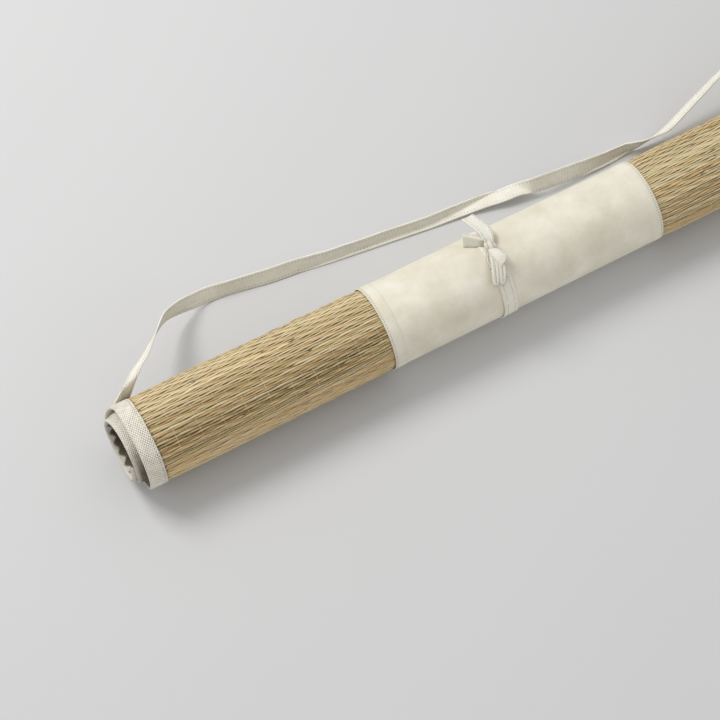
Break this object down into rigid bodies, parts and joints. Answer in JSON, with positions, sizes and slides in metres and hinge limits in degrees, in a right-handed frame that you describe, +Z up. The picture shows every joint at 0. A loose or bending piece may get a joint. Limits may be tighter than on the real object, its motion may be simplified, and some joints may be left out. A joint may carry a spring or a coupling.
{
  "type": "rolled pandanus mat",
  "caption": "Straw mat rolled up, with canvas edge bindings, a canvas panel round the middle, a knotted tape tie and a carrying strap.",
  "frame": {"origin": "on the ground under the middle of the canvas panel, below the axis of the roll", "axes": "+X along the roll towards the far end of the roll, +Y towards the strap behind the roll, +Z up"},
  "size_m": [0.9152, 0.193, 0.1052],
  "materials": {
    "straw": "matt",
    "canvas": "matt",
    "tape": "matt",
    "edge_canvas": "matt"
  },
  "bodies": {
    "root": {"mat": "straw", "binding_left": "edge_canvas", "binding_right": "edge_canvas", "canvas_panel": "canvas", "tie": "tape", "strap": "tape"}
  },
  "joints": []
}
